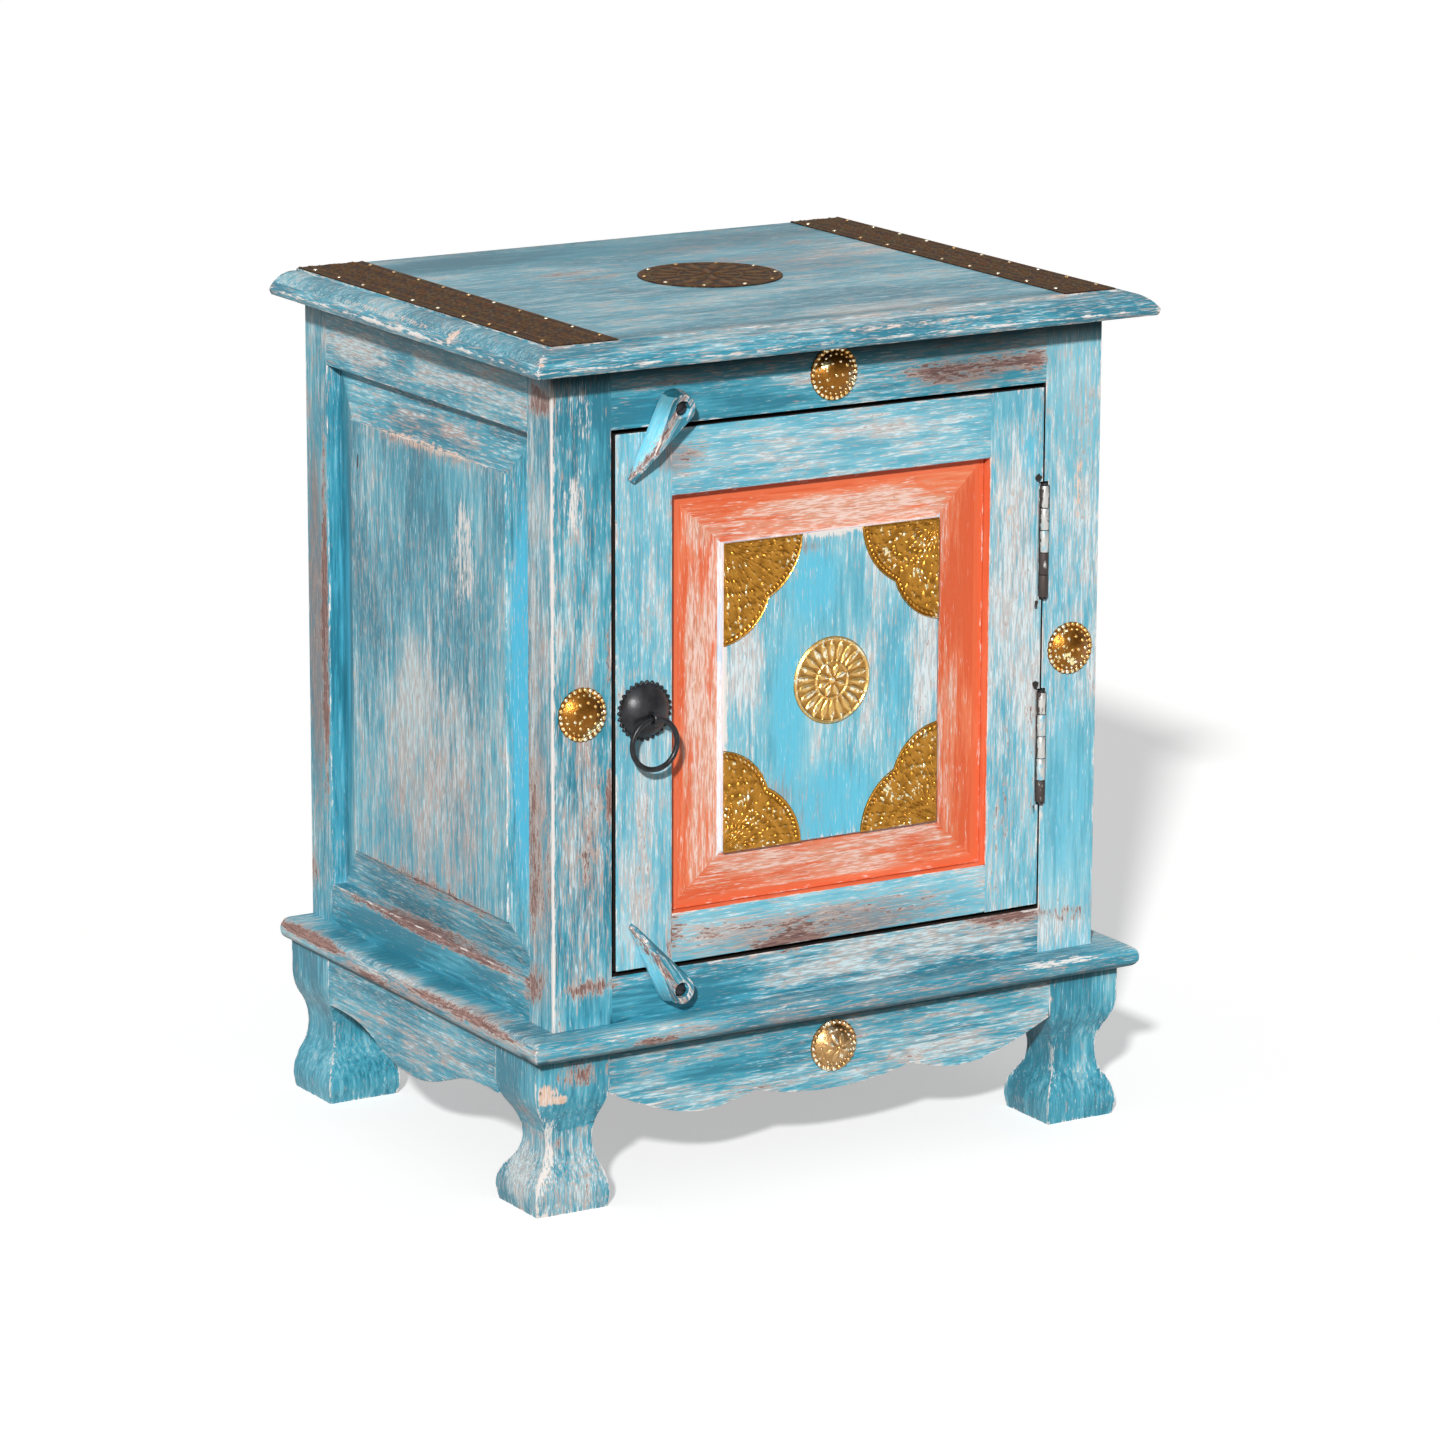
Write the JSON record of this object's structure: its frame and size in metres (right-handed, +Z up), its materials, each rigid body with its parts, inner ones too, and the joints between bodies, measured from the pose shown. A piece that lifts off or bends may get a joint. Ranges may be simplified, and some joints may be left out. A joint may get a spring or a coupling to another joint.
{
  "type": "nightstand",
  "caption": "Painted wooden nightstand with one framed door, panelled sides, a moulded top, a base board on carved bracket feet, brass mounts, a ring pull and two turn latches.",
  "frame": {"origin": "on the floor under the middle of the whole outline", "axes": "+Z up, -Y out of the door's face, +X to the right seen from the front"},
  "size_m": [0.412, 0.32, 0.4996],
  "materials": {
    "blue_painted_wood": "hand-brushed turquoise paint rubbed through to pale primer and brown wood at the edges",
    "coral_and_blue_painted_wood": "coral orange bevel round a turquoise field, both dry-brushed and worn",
    "bright_brass_sheet": "thin embossed brass, polished on the high parts",
    "aged_copper_sheet": "dark brown aged metal sheet with small nails",
    "black_iron": "black lacquered iron",
    "plain_steel": "dull steel with traces of paint"
  },
  "bodies": {
    "cabinet": {"apron_back": "blue_painted_wood", "apron_front": "blue_painted_wood", "apron_left": "blue_painted_wood", "apron_right": "blue_painted_wood", "base_board": "blue_painted_wood", "door_stop": "blue_painted_wood", "hinge_lower_case_leaf": "plain_steel", "hinge_pins": "plain_steel", "hinge_upper_case_leaf": "plain_steel", "latch_screws": "black_iron", "leg_back_left": "blue_painted_wood", "leg_back_right": "blue_painted_wood", "leg_front_left": "blue_painted_wood", "leg_front_right": "blue_painted_wood", "panel_back": "blue_painted_wood", "panel_left": "blue_painted_wood", "panel_right": "blue_painted_wood", "post_back_left": "blue_painted_wood", "post_back_right": "blue_painted_wood", "post_front_left": "blue_painted_wood", "post_front_right": "blue_painted_wood", "rail_back_bottom": "blue_painted_wood", "rail_back_top": "blue_painted_wood", "rail_front_bottom": "blue_painted_wood", "rail_front_top": "blue_painted_wood", "rail_left_bottom": "blue_painted_wood", "rail_left_top": "blue_painted_wood", "rail_right_bottom": "blue_painted_wood", "rail_right_top": "blue_painted_wood", "studs": "bright_brass_sheet", "top_disc": "aged_copper_sheet", "top_slab": "blue_painted_wood", "top_strip_left": "aged_copper_sheet", "top_strip_right": "aged_copper_sheet"},
    "door": {"door_corner_bottom_left": "bright_brass_sheet", "door_corner_bottom_right": "bright_brass_sheet", "door_corner_top_left": "bright_brass_sheet", "door_corner_top_right": "bright_brass_sheet", "door_panel": "coral_and_blue_painted_wood", "door_rail_bottom": "blue_painted_wood", "door_rail_top": "blue_painted_wood", "door_rosette": "bright_brass_sheet", "door_stile_left": "blue_painted_wood", "door_stile_right": "blue_painted_wood", "pull_plate": "black_iron", "pull_staple": "black_iron", "hinge_upper_door_leaf": "plain_steel", "hinge_lower_door_leaf": "plain_steel"},
    "latch_upper": {"latch_upper": "blue_painted_wood"},
    "latch_lower": {"latch_lower": "blue_painted_wood"},
    "pull_ring": {"pull_ring": "black_iron"}
  },
  "joints": [
    {"name": "door_swing", "type": "hinge", "parent": "cabinet", "child": "door", "pos_m": [0.1442, -0.135, 0.2856], "axis": [0, 0, 1], "range_deg": [0, 110]},
    {"name": "latch_upper_turn", "type": "hinge", "parent": "cabinet", "child": "latch_upper", "pos_m": [-0.1058, -0.1404, 0.4576], "axis": [0, 1, 0], "range_deg": [-150, 80]},
    {"name": "latch_lower_turn", "type": "hinge", "parent": "cabinet", "child": "latch_lower", "pos_m": [-0.1058, -0.1404, 0.1227], "axis": [0, -1, 0], "range_deg": [-140, 70]},
    {"name": "pull_ring_swing", "type": "hinge", "parent": "door", "child": "pull_ring", "pos_m": [-0.12375, -0.1458, 0.2831], "axis": [-1, 0, 0], "range_deg": [0, 150]}
  ]
}
